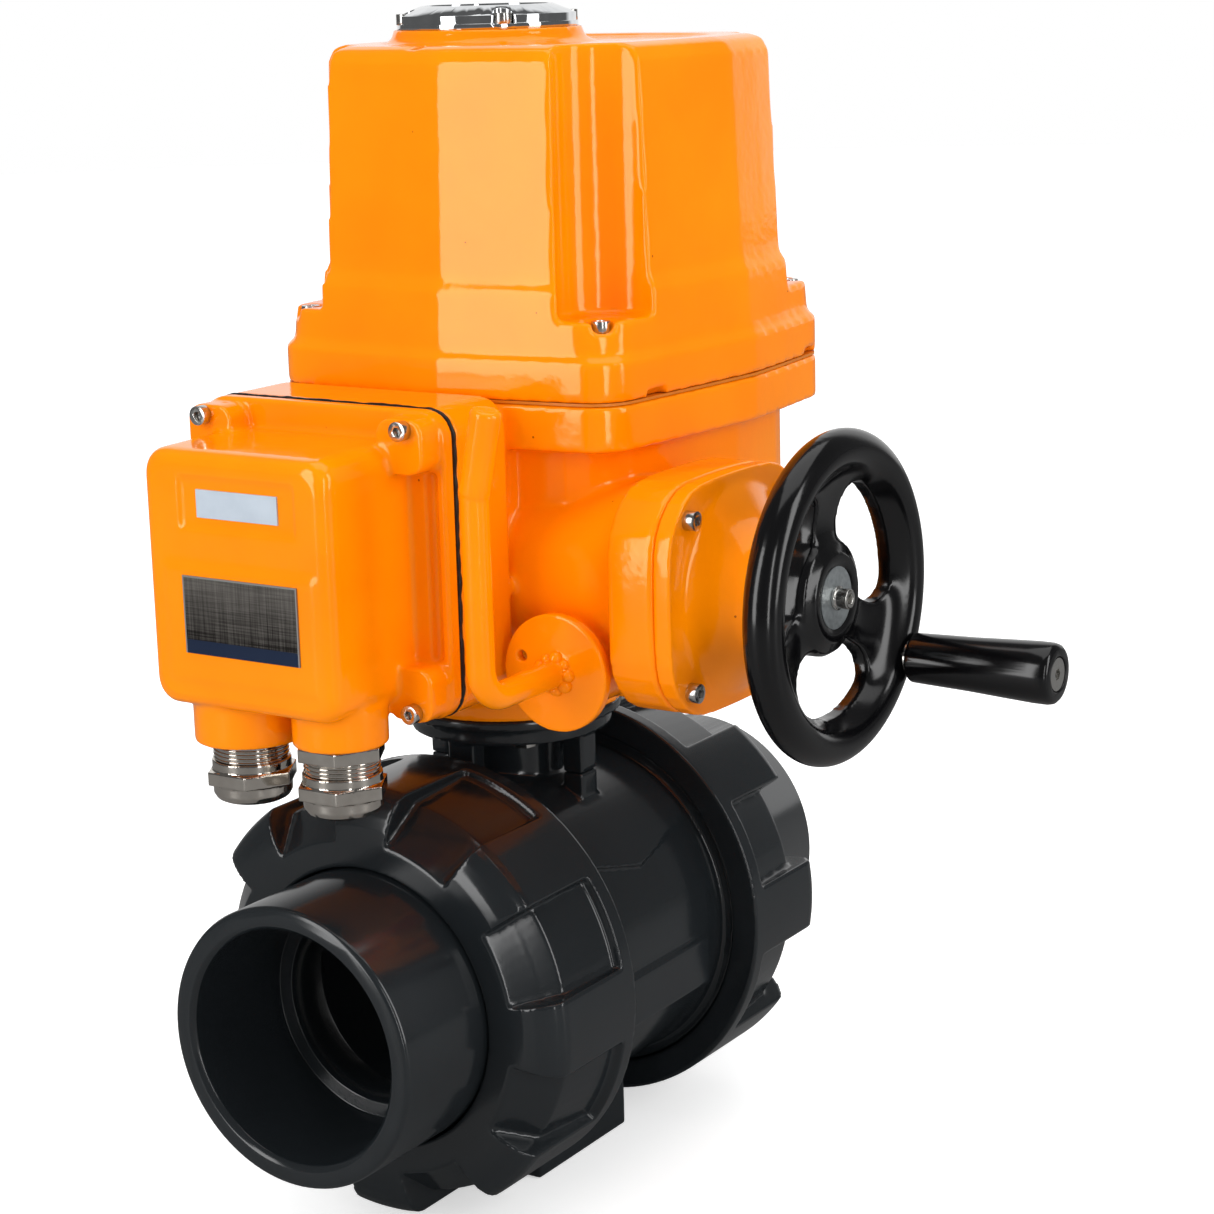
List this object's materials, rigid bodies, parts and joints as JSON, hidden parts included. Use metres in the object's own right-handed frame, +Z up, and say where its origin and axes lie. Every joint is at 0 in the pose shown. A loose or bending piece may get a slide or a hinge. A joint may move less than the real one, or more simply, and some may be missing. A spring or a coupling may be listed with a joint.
{
  "type": "motorized valve actuator",
  "caption": "Electric quarter-turn actuator with domed cover, terminal box, clutch lever and handwheel, bolted on a double-union plastic ball valve with pipe sockets.",
  "frame": {"origin": "centre of the underside of the valve foot, straight below the stem axis", "axes": "+Z up the stem, +Y along the pipe away from the terminal box, +X towards the handwheel"},
  "size_m": [0.319, 0.3113, 0.4595],
  "materials": {
    "orange_enamel": "gloss enamel over cast aluminium",
    "black_upvc": "semi-gloss moulded",
    "white_ptfe": "smooth",
    "black_rubber": "matt",
    "stainless_steel": "turned",
    "bearing_steel": "ground",
    "machined_steel": "machined",
    "bronze": "machined",
    "zinc_plate": "zinc plated",
    "chrome_ring": "polished",
    "window_glass": "clear",
    "dial_white": "printed",
    "nickel_brass": "nickel plated",
    "gloss_black": "polished phenolic",
    "rating_foil": "dark brushed foil",
    "name_foil": "pale foil",
    "terminal_nylon": "moulded",
    "motor_paint": "satin",
    "board_green": "solder mask",
    "capacitor_can": "moulded can",
    "switch_black": "moulded"
  },
  "bodies": {
    "fixed_frame": {"valve_body": "black_upvc", "ball_seats": "white_ptfe", "seat_carrier": "black_upvc", "union_nut_front": "black_upvc", "union_nut_rear": "black_upvc", "end_connector_front": "black_upvc", "end_connector_rear": "black_upvc", "connector_o_rings": "black_rubber", "mounting_bracket": "black_upvc", "bracket_screws": "stainless_steel", "flange_bolts": "stainless_steel", "gear_housing": "orange_enamel", "housing_gasket": "black_rubber", "top_cover": "orange_enamel", "cover_screws": "stainless_steel", "indicator_bezel": "chrome_ring", "indicator_window": "window_glass", "bezel_screws": "stainless_steel", "terminal_gasket": "black_rubber", "terminal_cover": "orange_enamel", "terminal_cover_screws": "stainless_steel", "terminal_block": "terminal_nylon", "gland_bodies": "nickel_brass", "gland_nuts": "nickel_brass", "gland_seals": "black_rubber", "rating_plate": "rating_foil", "name_plate": "name_foil", "gearbox_cover": "orange_enamel", "gearbox_cover_screws": "stainless_steel", "worm_bearing_inner": "bearing_steel", "worm_bearing_outer": "bearing_steel", "shaft_seal": "black_rubber", "output_bearings": "bearing_steel", "bearing_plate": "zinc_plate", "inner_screws": "stainless_steel", "motor_case": "motor_paint", "chassis_plate": "zinc_plate", "control_board": "board_green", "capacitor": "capacitor_can", "limit_switches": "switch_black", "lever_bush": "bronze"},
    "output_train": {"ball": "black_upvc", "valve_stem": "black_upvc", "stem_seals": "black_rubber", "stem_coupling": "machined_steel", "worm_wheel": "bronze", "output_shaft": "machined_steel", "limit_cams": "terminal_nylon", "indicator_dial": "dial_white"},
    "worm_train": {"worm_shaft": "machined_steel", "worm_gear": "machined_steel", "handwheel": "gloss_black", "handwheel_washer": "zinc_plate", "handwheel_bolt": "stainless_steel", "grip_spindle": "stainless_steel"},
    "grip": {"handle_grip": "gloss_black"},
    "motor": {"motor_rotor": "machined_steel"},
    "clutch": {"clutch_sleeve": "machined_steel"},
    "lever": {"clutch_lever": "orange_enamel", "lever_shaft": "machined_steel"}
  },
  "joints": [
    {"name": "output_turn", "type": "hinge", "parent": "fixed_frame", "child": "output_train", "pos_m": [0, 0, 0.091], "axis": [0, 0, -1], "range_deg": [0, 90]},
    {"name": "worm_turn", "type": "hinge", "parent": "fixed_frame", "child": "worm_train", "pos_m": [0, -0.04, 0.254], "axis": [-1, 0, 0], "range_deg": [0, 3600]},
    {"name": "motor_turn", "type": "hinge", "parent": "fixed_frame", "child": "motor", "pos_m": [0, -0.03, 0.29014], "axis": [-1, 0, 0], "range_deg": [-7650, 0]},
    {"name": "clutch_lever_turn", "type": "hinge", "parent": "fixed_frame", "child": "lever", "pos_m": [0.0785, -0.06, 0.2266], "axis": [0, 1, 0], "range_deg": [0, 25]},
    {"name": "clutch_slide", "type": "slide", "parent": "worm_train", "child": "clutch", "axis": [1, 0, 0], "range_m": [0, 0.00525]},
    {"name": "grip_spin", "type": "hinge", "parent": "worm_train", "child": "grip", "pos_m": [0.2, 0.00325, 0.22372], "axis": [1, 0, 0], "continuous": true}
  ],
  "couplings": [
    {"joint": "worm_turn", "follows": "output_turn", "ratio": 40},
    {"joint": "motor_turn", "follows": "output_turn", "ratio": -85},
    {"joint": "clutch_slide", "follows": "clutch_lever_turn", "m_per_rad": 0.01201}
  ]
}
